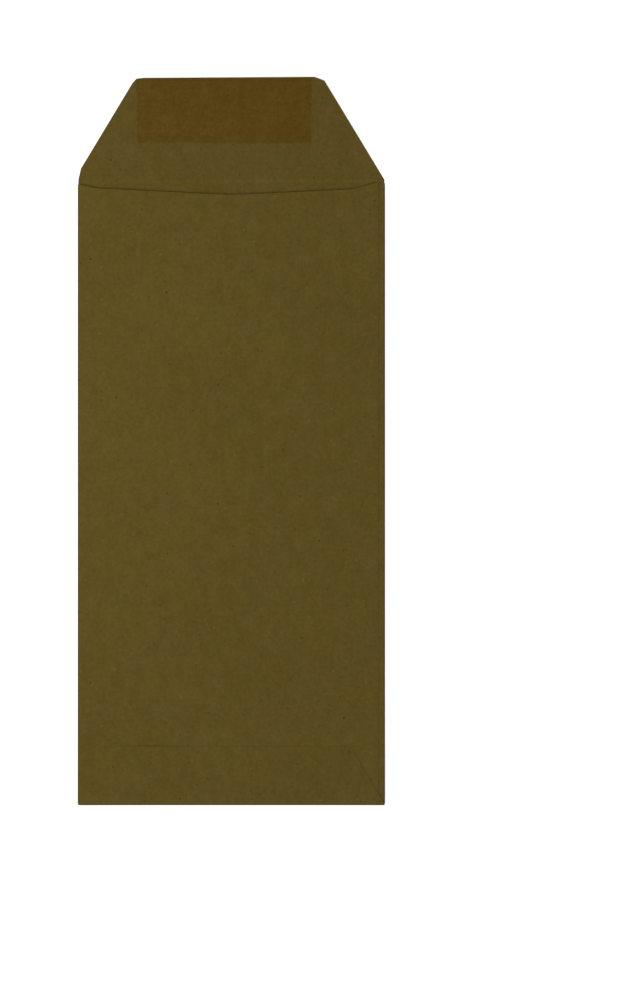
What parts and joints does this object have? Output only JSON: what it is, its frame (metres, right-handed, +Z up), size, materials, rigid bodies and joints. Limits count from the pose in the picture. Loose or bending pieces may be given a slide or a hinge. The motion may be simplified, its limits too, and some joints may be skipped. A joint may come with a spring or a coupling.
{
  "type": "envelope",
  "caption": "Tall paper pocket envelope, folded and pasted from one blank, with a hinged gummed flap over a shallow V-shaped mouth that opens.",
  "frame": {"origin": "centre of the address side's outer face, on which the envelope lies", "axes": "+X across the width towards the side seam, +Y along the height towards the flap, +Z up through the back wall"},
  "size_m": [0.109, 0.2584, 0.001],
  "materials": {
    "kraft_paper": "matt uncoated brown paper, machine finished",
    "dried_gum": "dried remoistening gum, satin",
    "paste": "dried paste between the layers, unseen"
  },
  "bodies": {
    "front": {"front_panel": "kraft_paper", "left_fold": "kraft_paper", "right_fold": "kraft_paper", "bottom_fold": "kraft_paper", "flap_crease": "kraft_paper"},
    "flap": {"seal_flap": "kraft_paper", "gum_strip": "dried_gum"},
    "back": {"back_panel": "kraft_paper", "seam_flap": "kraft_paper", "side_seam_paste": "paste", "bottom_flap": "kraft_paper", "bottom_paste": "paste"}
  },
  "joints": [
    {"name": "flap_hinge", "type": "hinge", "parent": "front", "child": "flap", "pos_m": [0, 0.1105, 0.00064], "axis": [1, 0, 0], "range_deg": [0, 179], "deforming": ["flap_crease"]},
    {"name": "mouth_hinge", "type": "hinge", "parent": "front", "child": "back", "pos_m": [0, -0.11001, 0.00049], "axis": [-1, 0, 0], "range_deg": [-3, 0], "deforming": ["left_fold", "right_fold"]}
  ]
}
